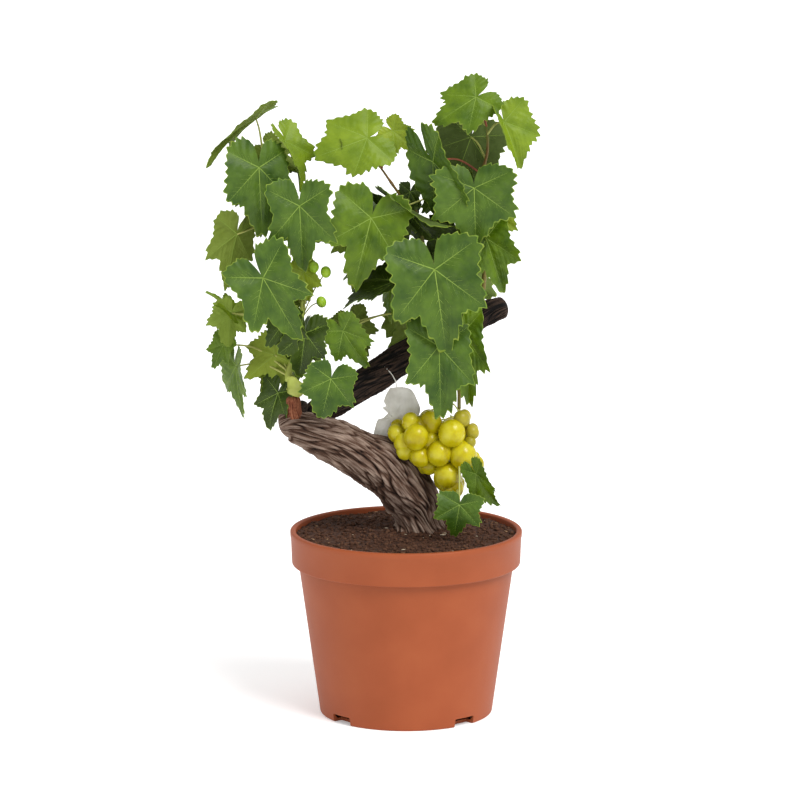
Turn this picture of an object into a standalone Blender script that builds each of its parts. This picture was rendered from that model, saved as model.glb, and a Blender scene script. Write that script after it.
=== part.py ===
"""Potted grapevine: an old, leaning vine trunk with one long arm, leafy canes and a bunch of grapes,
growing from a plastic pot of potting soil.

The frame has its origin at the middle of the pot's flat underside. +Z is up, +X is to the right and -Y
is towards the viewer. All sizes are in metres.
"""

import math

import bmesh
import bpy
from mathutils import Vector, noise

# Driving dimensions
POT_HEIGHT = 0.1764
RIM_RADIUS = 0.110
RIM_BAND_HEIGHT = 0.0322
FOOT_RADIUS = 0.0819
WALL = 0.0023
SOIL_BELOW_RIM = 0.004
MOUND_HEIGHT = 0.0025
TOUCHING_GAP = 0.0003

# Pot details
BODY_FLARE = 0.1397
BAND_FLARE = 0.0008
LIP_WIDTH = 0.0055
LIP_ROUNDING = 0.0018
SKIRT_ROUNDING = 0.0010
FOOT_ROUNDING = 0.0020
FLOOR_THICKNESS = 0.0030
POT_STEPS = 48

NOTCH_WIDTH = 0.0235
NOTCH_HEIGHT = 0.0082
NOTCH_DEPTH = 0.016
NOTCH_ANGLES = tuple(math.radians(angle) for angle in (-138.0, -48.0, 42.0, 132.0))
CLEAR_OF_POT = 0.020

# Soil: level at the wall, and heaped a little round the foot of the trunk
SOIL_LEVEL = POT_HEIGHT - SOIL_BELOW_RIM
MOUND_SLOPE_WIDTH = 0.035
MOUND_TOP_MARGIN = 0.005
SOIL_UNEVENNESS = 0.0010
SOIL_RINGS = 6
SOIL_STEPS = 32

# Wood: each station is (x, y, z, radius) on the middle line of the limb.
TRUNK_FOOT = SOIL_LEVEL + MOUND_HEIGHT + TOUCHING_GAP
TRUNK_STATIONS = (
    (0.012, 0.0145, TRUNK_FOOT, 0.0225),
    (0.011, 0.014, 0.184, 0.0212),
    (0.007, 0.013, 0.202, 0.0240),
    (-0.004, 0.008, 0.221, 0.0258),
    (-0.022, 0.003, 0.238, 0.0248),
    (-0.043, -0.002, 0.249, 0.0224),
    (-0.064, -0.006, 0.260, 0.0204),
    (-0.087, -0.010, 0.272, 0.0176),
    (-0.107, -0.012, 0.282, 0.0146),
    (-0.120, -0.012, 0.280, 0.0100),
)
ARM_STATIONS = (
    (-0.097, 0.002, 0.277, 0.0113),
    (-0.079, 0.004, 0.292, 0.0127),
    (-0.058, 0.008, 0.303, 0.0141),
    (-0.025, 0.012, 0.324, 0.0146),
    (-0.002, 0.016, 0.339, 0.0146),
    (0.028, 0.021, 0.356, 0.0137),
    (0.059, 0.026, 0.371, 0.0123),
    (0.081, 0.030, 0.381, 0.0104),
    (0.096, 0.032, 0.385, 0.0075),
)
SPUR_STATIONS = (
    (-0.105, -0.016, 0.281, 0.0080),
    (-0.106, -0.018, 0.296, 0.0071),
    (-0.106, -0.019, 0.309, 0.0066),
)
LIMB_RELIEF = 0.07
FLARE_HEIGHT = 0.012

# Canes and the stalk of the bunch, with stations as above
CANES = {
    "left_cane": (
        (-0.106, -0.019, 0.3094, 0.0062),
        (-0.107, -0.018, 0.319, 0.0058),
        (-0.105, -0.012, 0.333, 0.0034),
        (-0.099, -0.006, 0.368, 0.0030),
        (-0.098, 0.000, 0.412, 0.0028),
        (-0.108, 0.004, 0.456, 0.0026),
        (-0.123, 0.006, 0.502, 0.0022),
        (-0.134, 0.006, 0.535, 0.0018),
    ),
    "middle_cane": (
        (0.029, 0.020, 0.362, 0.0034),
        (0.024, 0.018, 0.402, 0.0032),
        (0.017, 0.014, 0.442, 0.0028),
        (0.010, 0.010, 0.477, 0.0024),
        (-0.005, 0.006, 0.494, 0.0022),
        (-0.023, 0.002, 0.520, 0.0018),
    ),
    "right_cane": (
        (0.068, 0.028, 0.376, 0.0034),
        (0.073, 0.028, 0.406, 0.0032),
        (0.075, 0.024, 0.450, 0.0028),
        (0.070, 0.018, 0.502, 0.0026),
        (0.076, 0.012, 0.536, 0.0022),
        (0.075, 0.010, 0.559, 0.0020),
    ),
    "bunch_stalk": (
        (0.048, 0.022, 0.366, 0.0020),
        (0.050, 0.012, 0.330, 0.0018),
        (0.050, 0.002, 0.292, 0.0022),
    ),
}

# Masses of foliage and fruit: each clump is (middle, half sizes), and the first holds the mass's heart.
MASSES = {
    "left_top_leaves": (
        ((-0.146, 0.004, 0.551), (0.026, 0.030, 0.019)),
        ((-0.179, 0.000, 0.541), (0.016, 0.022, 0.011)),
        ((-0.109, 0.012, 0.535), (0.021, 0.026, 0.029)),
        ((-0.134, 0.000, 0.572), (0.011, 0.018, 0.012)),
    ),
    "left_upper_leaves": (
        ((-0.118, -0.008, 0.487), (0.040, 0.050, 0.043)),
        ((-0.137, -0.030, 0.508), (0.025, 0.028, 0.040)),
        ((-0.099, -0.036, 0.466), (0.025, 0.026, 0.040)),
        ((-0.164, -0.012, 0.442), (0.020, 0.026, 0.032)),
        ((-0.117, 0.040, 0.478), (0.038, 0.024, 0.038)),
    ),
    "left_lower_leaves": (
        ((-0.120, -0.028, 0.396), (0.038, 0.046, 0.047)),
        ((-0.130, -0.058, 0.408), (0.031, 0.018, 0.045)),
        ((-0.084, -0.045, 0.361), (0.023, 0.022, 0.036)),
        ((-0.139, -0.020, 0.350), (0.019, 0.022, 0.036)),
        ((-0.115, 0.026, 0.387), (0.036, 0.022, 0.036)),
    ),
    "left_bottom_leaves": (
        ((-0.136, -0.012, 0.299), (0.023, 0.022, 0.019)),
        ((-0.158, -0.010, 0.310), (0.011, 0.012, 0.028)),
        ((-0.130, -0.020, 0.318), (0.017, 0.014, 0.013)),
    ),
    "left_tip_leaves": (
        ((-0.169, -0.020, 0.373), (0.021, 0.020, 0.016)),
        ((-0.176, -0.018, 0.397), (0.010, 0.012, 0.017)),
        ((-0.174, -0.020, 0.346), (0.010, 0.012, 0.013)),
    ),
    "middle_top_leaves": (
        ((-0.054, -0.004, 0.538), (0.034, 0.026, 0.034)),
        ((-0.037, 0.000, 0.560), (0.016, 0.020, 0.014)),
        ((-0.032, 0.001, 0.526), (0.015, 0.012, 0.012)),
        ((0.001, 0.002, 0.549), (0.014, 0.014, 0.013)),
        ((-0.051, 0.030, 0.534), (0.025, 0.018, 0.026)),
    ),
    "middle_leaves": (
        ((-0.037, -0.018, 0.460), (0.040, 0.040, 0.041)),
        ((-0.050, -0.036, 0.443), (0.028, 0.020, 0.034)),
        ((-0.010, -0.028, 0.467), (0.021, 0.022, 0.030)),
        ((-0.008, 0.000, 0.472), (0.022, 0.016, 0.016)),
        ((-0.038, 0.036, 0.456), (0.034, 0.024, 0.036)),
    ),
    "middle_low_leaves": (
        ((-0.043, -0.026, 0.366), (0.025, 0.018, 0.032)),
        ((-0.038, -0.008, 0.401), (0.028, 0.022, 0.013)),
        ((-0.013, 0.002, 0.392), (0.009, 0.016, 0.018)),
        ((-0.030, -0.006, 0.350), (0.012, 0.018, 0.018)),
    ),
    "spur_leaves": (
        ((-0.070, -0.036, 0.315), (0.027, 0.013, 0.027)),
        ((-0.057, -0.034, 0.315), (0.013, 0.012, 0.021)),
        ((-0.065, -0.018, 0.316), (0.012, 0.026, 0.012)),
    ),
    "right_top_leaves": (
        ((0.067, 0.004, 0.552), (0.036, 0.044, 0.043)),
        ((0.057, -0.004, 0.580), (0.034, 0.022, 0.026)),
        ((0.110, -0.008, 0.548), (0.019, 0.022, 0.036)),
        ((0.070, 0.042, 0.540), (0.030, 0.018, 0.034)),
    ),
    "right_upper_leaves": (
        ((0.056, 0.000, 0.486), (0.040, 0.044, 0.038)),
        ((0.072, -0.034, 0.494), (0.030, 0.020, 0.041)),
        ((0.029, -0.024, 0.520), (0.019, 0.020, 0.036)),
        ((0.086, 0.000, 0.453), (0.013, 0.020, 0.019)),
        ((0.009, 0.004, 0.485), (0.015, 0.018, 0.017)),
        ((0.053, 0.046, 0.480), (0.034, 0.020, 0.034)),
    ),
    "front_leaves": (
        ((0.033, -0.046, 0.407), (0.045, 0.026, 0.053)),
        ((0.080, -0.014, 0.429), (0.016, 0.024, 0.028)),
        ((0.041, -0.014, 0.440), (0.028, 0.028, 0.023)),
        ((0.028, -0.015, 0.400), (0.022, 0.036, 0.028)),
    ),
    "bunch_leaves": (
        ((0.026, -0.044, 0.328), (0.031, 0.018, 0.038)),
        ((0.056, -0.030, 0.337), (0.010, 0.014, 0.036)),
    ),
    "low_leaves": (
        ((0.052, -0.036, 0.201), (0.024, 0.014, 0.024)),
        ((0.071, -0.036, 0.222), (0.013, 0.012, 0.021)),
        ((0.047, -0.026, 0.220), (0.010, 0.014, 0.015)),
    ),
    "grape_bunch": (
        ((0.034, -0.006, 0.257), (0.032, 0.030, 0.032)),
        ((0.000, -0.004, 0.263), (0.017, 0.022, 0.023)),
        ((0.056, -0.004, 0.258), (0.018, 0.024, 0.028)),
        ((0.043, -0.008, 0.225), (0.014, 0.020, 0.019)),
    ),
    "back_leaves": (
        ((0.023, 0.062, 0.386), (0.041, 0.020, 0.041)),
        ((0.061, 0.056, 0.407), (0.025, 0.018, 0.034)),
        ((-0.006, 0.058, 0.353), (0.025, 0.016, 0.028)),
        ((0.030, 0.044, 0.370), (0.020, 0.020, 0.020)),
    ),
}
MASS_DETAIL = 3
MASS_UNEVENNESS = 0.12
MASS_ROUGH_SCALE = 2.4
LEAST_REACH = 0.006
SEED_STEP = 7.3


def clear_scene():
    for obj in list(bpy.data.objects):
        bpy.data.objects.remove(obj)


def make_material(name, colour, roughness, metallic=0.0):
    made = bpy.data.materials.new(name)
    made.use_nodes = True
    shader = made.node_tree.nodes["Principled BSDF"]
    shader.inputs["Base Color"].default_value = (*colour, 1.0)
    shader.inputs["Roughness"].default_value = roughness
    shader.inputs["Metallic"].default_value = metallic
    return made


def add_object(name, mesh, material=None, smooth=True):
    obj = bpy.data.objects.new(name, mesh)
    bpy.context.scene.collection.objects.link(obj)
    if material:
        mesh.materials.append(material)
    if smooth and mesh.polygons:
        mesh.shade_smooth()
        mesh.set_sharp_from_angle(angle=math.radians(40))
    return obj


def mesh_from(name, shape):
    """The bmesh as a mesh, with its faces pointing out."""
    bmesh.ops.recalc_face_normals(shape, faces=shape.faces)
    mesh = bpy.data.meshes.new(name)
    shape.to_mesh(mesh)
    shape.free()
    return mesh


def join_rings(shape, rings):
    """Bands of faces between closed rings that have the same number of points."""
    for lower, upper in zip(rings, rings[1:]):
        count = len(lower)
        for k in range(count):
            after = (k + 1) % count
            shape.faces.new((lower[k], lower[after], upper[after], upper[k]))


def hide_as_cutter(obj):
    obj.hide_render = True
    obj.display_type = "WIRE"
    return obj


def add_boolean(obj, other, operation):
    modifier = obj.modifiers.new(operation.title(), "BOOLEAN")
    modifier.operation = operation
    modifier.solver = "EXACT"
    modifier.object = other


def arc(centre_r, centre_z, radius, start, end, count):
    """Points (r, z) on an arc of the turned profile. Its angles are in degrees from +r."""
    angles = [math.radians(start + (end - start) * i / (count - 1)) for i in range(count)]
    return [(centre_r + radius * math.cos(a), centre_z + radius * math.sin(a)) for a in angles]


def turned(name, profile, material, steps):
    """A solid turned about Z. Its profile runs from the axis up the inside and down the outside to the axis."""
    mesh = bpy.data.meshes.new(name)
    points = [(r, 0.0, z) for r, z in profile]
    mesh.from_pydata(points, [(i, i + 1) for i in range(len(points) - 1)], [])
    obj = add_object(name, mesh, material, smooth=False)
    screw = obj.modifiers.new("Turn", "SCREW")
    screw.axis = "Z"
    screw.steps = screw.render_steps = steps
    screw.use_merge_vertices = True
    screw.merge_threshold = 1e-5
    screw.use_smooth_shade = True
    return obj


def body_radius(z):
    """Outer radius of the pot's tapering wall."""
    return FOOT_RADIUS + BODY_FLARE * z


def pot_profile():
    """The floor, the wall with its lip, and the skirt that hangs from the lip and is open below."""
    band_bottom = POT_HEIGHT - RIM_BAND_HEIGHT
    band_radius = RIM_RADIUS + BAND_FLARE
    inner_top = RIM_RADIUS - LIP_WIDTH
    skirt_top = POT_HEIGHT - WALL - SKIRT_ROUNDING
    lip_middle = POT_HEIGHT - LIP_ROUNDING
    inner_foot = body_radius(FLOOR_THICKNESS) - WALL
    inside = [(0.0, FLOOR_THICKNESS), (inner_foot, FLOOR_THICKNESS)]
    lip = arc(inner_top + LIP_ROUNDING, lip_middle, LIP_ROUNDING, 180, 90, 4)
    lip += arc(RIM_RADIUS - LIP_ROUNDING, lip_middle, LIP_ROUNDING, 90, 0, 4)
    skirt = [
        (band_radius, band_bottom + SKIRT_ROUNDING),
        (band_radius - SKIRT_ROUNDING, band_bottom),
        (band_radius - WALL, band_bottom),
        (RIM_RADIUS - WALL, skirt_top),
        (body_radius(skirt_top), skirt_top),
        (body_radius(band_bottom), band_bottom),
    ]
    foot = arc(body_radius(FOOT_ROUNDING) - FOOT_ROUNDING, FOOT_ROUNDING, FOOT_ROUNDING, 0, -90, 4)
    return inside + lip + skirt + foot + [(0.0, 0.0)]


def notch_box(name, angle, grow, outer, bottom):
    """A box round one drain notch, larger than it by grow at the top, the sides and the inner end."""
    inner = FOOT_RADIUS - NOTCH_DEPTH - grow
    top = NOTCH_HEIGHT + grow
    across = NOTCH_WIDTH + 2 * grow
    shape = bmesh.new()
    bmesh.ops.create_cube(shape, size=1.0)
    middle = Vector(((inner + outer) / 2, 0.0, (bottom + top) / 2))
    bmesh.ops.scale(shape, vec=(outer - inner, across, top - bottom), verts=shape.verts)
    bmesh.ops.translate(shape, vec=middle, verts=shape.verts)
    box = add_object(name, mesh_from(name, shape), smooth=False)
    # An angle of 0 is the side nearest the viewer.
    box.rotation_euler.z = angle - math.pi / 2
    return hide_as_cutter(box)


def make_pot(material):
    """The pot, with a drain notch stepped into its foot on four sides."""
    pot = turned("pot", pot_profile(), material, POT_STEPS)
    inside_wall = body_radius(NOTCH_HEIGHT) - WALL / 2
    for number, angle in enumerate(NOTCH_ANGLES, start=1):
        walls = notch_box(f"notch_walls_{number}", angle, WALL, inside_wall, FLOOR_THICKNESS / 2)
        add_boolean(pot, walls, "UNION")
    outside = FOOT_RADIUS + CLEAR_OF_POT
    for number, angle in enumerate(NOTCH_ANGLES, start=1):
        notch = notch_box(f"notch_{number}", angle, 0.0, outside, -CLEAR_OF_POT)
        add_boolean(pot, notch, "DIFFERENCE")


def soil_height(place):
    """Height of the soil's top at a place (x, y): heaped and level round the trunk's foot, and uneven elsewhere."""
    foot_x, foot_y, _, foot_radius = TRUNK_STATIONS[0]
    away = (place - Vector((foot_x, foot_y))).length - foot_radius - MOUND_TOP_MARGIN
    down = min(max(away / MOUND_SLOPE_WIDTH, 0.0), 1.0)
    heap = MOUND_HEIGHT * (1 + math.cos(math.pi * down)) / 2
    return SOIL_LEVEL + heap + down * SOIL_UNEVENNESS * noise.noise(Vector((*place, 0.0)) * 60)


def make_soil(material):
    """The potting soil, which fills the pot and stands clear of the four notches' walls."""
    bottom = FLOOR_THICKNESS + TOUCHING_GAP
    inner = body_radius(0.0) - WALL - TOUCHING_GAP
    top_radius = inner + BODY_FLARE * SOIL_LEVEL
    turns = [2 * math.pi * k / SOIL_STEPS for k in range(SOIL_STEPS)]
    shape = bmesh.new()
    rings = []
    for radius, z in ((inner + BODY_FLARE * bottom, bottom), (top_radius, SOIL_LEVEL)):
        rings.append([shape.verts.new((radius * math.cos(t), radius * math.sin(t), z)) for t in turns])
    for ring in range(1, SOIL_RINGS):
        radius = top_radius * (1 - ring / SOIL_RINGS)
        places = [Vector((radius * math.cos(t), radius * math.sin(t))) for t in turns]
        rings.append([shape.verts.new((*place, soil_height(place))) for place in places])
    join_rings(shape, rings)
    shape.faces.new(rings[0])
    centre = shape.verts.new((0.0, 0.0, soil_height(Vector((0.0, 0.0)))))
    for k in range(SOIL_STEPS):
        shape.faces.new((rings[-1][k], rings[-1][(k + 1) % SOIL_STEPS], centre))
    soil = add_object("soil", mesh_from("soil", shape), material)
    outside = FOOT_RADIUS + CLEAR_OF_POT
    for number, angle in enumerate(NOTCH_ANGLES, start=1):
        space = notch_box(f"soil_space_{number}", angle, WALL + TOUCHING_GAP, outside, -CLEAR_OF_POT)
        add_boolean(soil, space, "DIFFERENCE")


def smooth_route(stations, count):
    """Points (position, radius) along a smooth curve through the stations, evenly spaced between each two."""
    ends = [stations[0], *stations, stations[-1]]
    spans = len(stations) - 1
    route = []
    for i in range(count):
        along = spans * i / (count - 1)
        span = min(int(along), spans - 1)
        t = along - span
        a, b, c, d = ends[span : span + 4]
        value = [
            0.5
            * (
                2 * b[k]
                + (c[k] - a[k]) * t
                + (2 * a[k] - 5 * b[k] + 4 * c[k] - d[k]) * t**2
                + (3 * b[k] - a[k] - 3 * c[k] + d[k]) * t**3
            )
            for k in range(4)
        ]
        route.append((Vector(value[:3]), value[3]))
    return route


def swept(name, stations, rings, sides, material=None, relief=0.0, grow=0.0, flat_foot=False):
    """A closed, tapering limb along the stations. Relief makes its section uneven, as old wood is."""
    route = smooth_route(stations, rings)
    across = Vector((0.0, 1.0, 0.0))
    foot = stations[0][2]
    shape = bmesh.new()
    loops = []
    for i, (point, radius) in enumerate(route):
        before, after = route[max(i - 1, 0)][0], route[min(i + 1, rings - 1)][0]
        along = (after - before).normalized()
        if flat_foot and point.z < foot + FLARE_HEIGHT:
            upright = 1.0 - (point.z - foot) / FLARE_HEIGHT
            along = along.lerp(Vector((0.0, 0.0, 1.0)), upright).normalized()
        side = along.cross(across).normalized()
        across = side.cross(along).normalized()
        loop = []
        for k in range(sides):
            turn = 2 * math.pi * k / sides
            out = side * math.cos(turn) + across * math.sin(turn)
            place = Vector((math.cos(turn), math.sin(turn), 0.0)) * 1.3 + point * 22
            reach = radius * (1 + relief * noise.noise(place)) + grow
            loop.append(shape.verts.new(point + out * reach))
        loops.append(loop)
    join_rings(shape, loops)
    shape.faces.new(loops[0])
    shape.faces.new(loops[-1])
    return add_object(name, mesh_from(name, shape), material)


def limb(name, stations, rings, sides, material, relief=0.0, flat_foot=False):
    """A limb, and a hidden copy of it, larger by the gap, which makes room for it in what it meets."""
    made = swept(name, stations, rings, sides, material, relief, 0.0, flat_foot)
    room = swept(f"{name}_room", stations, rings, sides, None, relief, TOUCHING_GAP, flat_foot)
    return made, hide_as_cutter(room)


def make_wood(bark, spur_bark, green_wood):
    """The trunk, arm, spur and canes. It returns the rooms that the masses leave for them."""
    trunk, trunk_room = limb("trunk", TRUNK_STATIONS, 19, 12, bark, LIMB_RELIEF, flat_foot=True)
    arm, arm_room = limb("arm", ARM_STATIONS, 14, 10, bark, LIMB_RELIEF)
    spur, spur_room = limb("spur", SPUR_STATIONS, 4, 10, spur_bark)
    add_boolean(arm, trunk_room, "DIFFERENCE")
    add_boolean(spur, trunk_room, "DIFFERENCE")
    rooms = [trunk_room, arm_room, spur_room]
    for name, stations in CANES.items():
        cane, cane_room = limb(name, stations, 2 * len(stations), 6, green_wood)
        add_boolean(cane, spur_room if name == "left_cane" else arm_room, "DIFFERENCE")
        rooms.append(cane_room)
    return rooms


def ray_exit(start, direction, middle, half):
    """How far along a direction from the start an ellipsoid ends, or 0 where the ray misses it."""
    o = Vector([(start[k] - middle[k]) / half[k] for k in range(3)])
    d = Vector([direction[k] / half[k] for k in range(3)])
    a, b, c = d.dot(d), o.dot(d), o.dot(o) - 1
    inside = b * b - a * c
    return max((-b + math.sqrt(inside)) / a, 0.0) if inside > 0 else 0.0


def walls_round(name):
    """The planes, as (direction, distance from the heart), that part a mass from each of the others."""
    middle, half = MASSES[name][0]
    walls = []
    for other, clumps in MASSES.items():
        if other == name:
            continue
        towards = Vector(clumps[0][0]) - Vector(middle)
        share = sum(half) / (sum(half) + sum(clumps[0][1]))
        walls.append((towards.normalized(), towards.length * share - TOUCHING_GAP / 2))
    return walls


def make_mass(name, material, seed):
    """One closed, uneven mass. It reaches from its heart to its clumps' far sides or to its walls."""
    heart = Vector(MASSES[name][0][0])
    walls = walls_round(name)
    shape = bmesh.new()
    bmesh.ops.create_icosphere(shape, subdivisions=MASS_DETAIL, radius=1.0)
    for vertex in shape.verts:
        way = vertex.co.normalized()
        reach = max(ray_exit(heart, way, Vector(middle), half) for middle, half in MASSES[name])
        reach *= 1 + MASS_UNEVENNESS * noise.noise(way * MASS_ROUGH_SCALE + Vector((seed, 0, 0)))
        reach = max(reach, LEAST_REACH)
        for towards, distance in walls:
            if way.dot(towards) > 0:
                reach = min(reach, distance / way.dot(towards))
        vertex.co = heart + way * reach
    return add_object(name, mesh_from(name, shape), material)


def main():
    clear_scene()
    plastic = make_material("terracotta_plastic", (0.52, 0.17, 0.07), 0.5)
    earth = make_material("potting_soil", (0.035, 0.018, 0.01), 0.95)
    bark = make_material("vine_bark", (0.13, 0.085, 0.06), 0.9)
    spur_bark = make_material("young_wood", (0.28, 0.12, 0.06), 0.7)
    green_wood = make_material("green_cane", (0.25, 0.32, 0.08), 0.6)
    leaf = make_material("vine_leaf", (0.10, 0.22, 0.03), 0.5)
    grape = make_material("grape_skin", (0.55, 0.52, 0.06), 0.3)

    make_pot(plastic)
    make_soil(earth)
    rooms = make_wood(bark, spur_bark, green_wood)
    for number, name in enumerate(MASSES):
        mass = make_mass(name, grape if name == "grape_bunch" else leaf, number * SEED_STEP)
        for room in rooms:
            add_boolean(mass, room, "DIFFERENCE")


main()
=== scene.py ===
import math
import random

import bpy
import numpy as np
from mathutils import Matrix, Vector, noise


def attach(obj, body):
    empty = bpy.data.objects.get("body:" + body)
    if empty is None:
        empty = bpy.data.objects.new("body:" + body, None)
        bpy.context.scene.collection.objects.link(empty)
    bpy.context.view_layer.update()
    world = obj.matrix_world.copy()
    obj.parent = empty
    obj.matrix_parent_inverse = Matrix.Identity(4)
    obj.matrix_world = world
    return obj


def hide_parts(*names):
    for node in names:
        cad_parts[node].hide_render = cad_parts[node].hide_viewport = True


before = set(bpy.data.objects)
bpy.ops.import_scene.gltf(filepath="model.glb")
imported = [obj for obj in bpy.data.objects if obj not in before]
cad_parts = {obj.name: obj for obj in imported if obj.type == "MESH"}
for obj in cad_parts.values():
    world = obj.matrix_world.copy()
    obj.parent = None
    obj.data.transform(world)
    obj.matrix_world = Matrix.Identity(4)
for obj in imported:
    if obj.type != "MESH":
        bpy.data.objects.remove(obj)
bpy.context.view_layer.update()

# The camera stands four metres off with a long lens, a little above the plant, as for a catalogue picture.
# Its place was fitted to the pot's rim, foot and band, so a pixel of the picture and a depth give a place.
bpy.ops.object.select_all(action="DESELECT")
PICTURE = 800
LENS_PIXELS = 4241.7
SENSOR = 36.0
FARTHEST_VIEW = 100.0
CAMERA_TILT = math.radians(10.5)
CAMERA_AWAY = 4.0
AIM = np.array((-0.0058, 0.0, 0.3008))
LOOK = np.array((0.0, math.cos(CAMERA_TILT), -math.sin(CAMERA_TILT)))
VIEW_UP = np.array((0.0, math.sin(CAMERA_TILT), math.cos(CAMERA_TILT)))
EYE = AIM - LOOK * CAMERA_AWAY

lens = bpy.data.cameras.new("camera")
lens.sensor_width = SENSOR
lens.lens = LENS_PIXELS * SENSOR / PICTURE
lens.clip_end = FARTHEST_VIEW
camera = bpy.data.objects.new("camera", lens)
camera.location = EYE
camera.rotation_euler = (math.pi / 2 - CAMERA_TILT, 0.0, 0.0)
bpy.context.collection.objects.link(camera)
bpy.context.scene.camera = camera
bpy.context.scene.view_settings.view_transform = "Standard"


def at(across, down, depth):
    """The place at this depth (y) that the picture shows at this pixel."""
    ray = LOOK + np.array((1.0, 0.0, 0.0)) * (across - PICTURE / 2) / LENS_PIXELS
    ray = ray + VIEW_UP * (PICTURE / 2 - down) / LENS_PIXELS
    return EYE + ray * (depth - EYE[1]) / ray[1]


# The pot is moulded terracotta-coloured plastic with a thin wall, a deep rim band with a rounded lip and a
# skirt, and four drain notches in its foot. Its outline is turned once round, and the notches are cut out.
POT_HEIGHT = 0.1764
RIM_RADIUS = 0.110
FOOT_RADIUS = 0.0819
BODY_FLARE = 0.1397
WALL = 0.0023
POT_FLOOR = 0.003
FLOOR_CORNER = 0.002
INNER_WALL_FOOT = 0.006
FOOT_CORNER = 0.002
OUTER_WALL_FOOT = 0.003
FOOT_RING = 0.010
FOOT_RING_SLOPE = 0.002
FOOT_HOLLOW = 0.0012
BAND_HEIGHT = 0.0322
BAND_FLARE = 0.0008
BAND_CORNER = 0.0016
BAND_CORNER_INSET = 0.0024
SKIRT_INSET = 0.0034
SKIRT_DEPTH = 0.012
SKIRT_ROOT = 0.014
SKIRT_ROOT_EASE = 0.0002
BODY_TOP_DROP = 0.004
LIP_WIDTH = 0.0055
LIP_CORNER = 0.0018
LIP_INNER_DROP = 0.004
LIP_EASE = 0.0002
LIP_DEPTH = 0.0055
LIP_STEP = 0.0007
LIP_STEP_DEPTH = 0.0062
POT_STEPS = 192
POT_MERGE = 0.00002
POT_SHARP = math.radians(35)
NOTCH_SIZE = (0.016, 0.0235, 0.0164)
NOTCH_ANGLES = (-228.0, -138.0, -48.0, 42.0)
NOTCH_REACH = FOOT_RADIUS - 0.002
NOTCH_CORNER = 0.0015
SCREEN_GAMMA = 2.2
SPECULAR = 0.28
GLOW_REACH = (0.004, 0.003, 0.001)
DRIFT_DETAIL = 6.0
DRIFT_START = 0.3
DRIFT_SPAN = 0.4
SPECK_DETAIL = 4.0
GLOSS_SPREAD = 0.08
RELIEF_DEPTH = 0.0005


def paint(red, green, blue):
    """A colour of 0 to 255 a channel, as seen on a screen, in the linear values that shaders take."""
    return tuple((channel / 255) ** SCREEN_GAMMA for channel in (red, green, blue)) + (1.0,)


def finish(name, colours, grain, roughness, bump, fine, glow=0.0):
    """A surface whose colour drifts through these colours, with a fine grain in its relief and gloss."""
    made = bpy.data.materials.new(name)
    made.use_nodes = True
    nodes, links = made.node_tree.nodes, made.node_tree.links
    shader = nodes["Principled BSDF"]
    shader.inputs["Roughness"].default_value = roughness
    shader.inputs["Subsurface Weight"].default_value = glow
    shader.inputs["Subsurface Radius"].default_value = GLOW_REACH
    shader.inputs["Specular IOR Level"].default_value = SPECULAR
    place = nodes.new("ShaderNodeTexCoord")
    drift = nodes.new("ShaderNodeTexNoise")
    drift.inputs["Scale"].default_value = grain
    drift.inputs["Detail"].default_value = DRIFT_DETAIL
    ramp = nodes.new("ShaderNodeValToRGB")
    while len(ramp.color_ramp.elements) < len(colours):
        ramp.color_ramp.elements.new(0.5)
    for step, colour in enumerate(colours):
        share = step / max(1, len(colours) - 1)
        ramp.color_ramp.elements[step].position = DRIFT_START + DRIFT_SPAN * share
        ramp.color_ramp.elements[step].color = colour
    speck = nodes.new("ShaderNodeTexNoise")
    speck.inputs["Scale"].default_value = fine
    speck.inputs["Detail"].default_value = SPECK_DETAIL
    gloss = nodes.new("ShaderNodeMapRange")
    gloss.inputs["To Min"].default_value = roughness - GLOSS_SPREAD
    gloss.inputs["To Max"].default_value = roughness + GLOSS_SPREAD
    relief = nodes.new("ShaderNodeBump")
    relief.inputs["Strength"].default_value = bump
    relief.inputs["Distance"].default_value = RELIEF_DEPTH
    links.new(place.outputs["Object"], drift.inputs["Vector"])
    links.new(place.outputs["Object"], speck.inputs["Vector"])
    links.new(drift.outputs["Fac"], ramp.inputs["Fac"])
    links.new(ramp.outputs["Color"], shader.inputs["Base Color"])
    links.new(speck.outputs["Fac"], gloss.inputs["Value"])
    links.new(gloss.outputs["Result"], shader.inputs["Roughness"])
    links.new(speck.outputs["Fac"], relief.inputs["Height"])
    links.new(relief.outputs["Normal"], shader.inputs["Normal"])
    return made


def arc(middle, radius, first, last, steps=6):
    """Points along an arc from one angle to another, in degrees."""
    turns = [math.radians(first + (last - first) * step / steps) for step in range(steps + 1)]
    return [(middle[0] + radius * math.cos(t), middle[1] + radius * math.sin(t)) for t in turns]


def body_radius(height):
    """The radius of the pot's outer wall at this height."""
    return FOOT_RADIUS + BODY_FLARE * height


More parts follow.
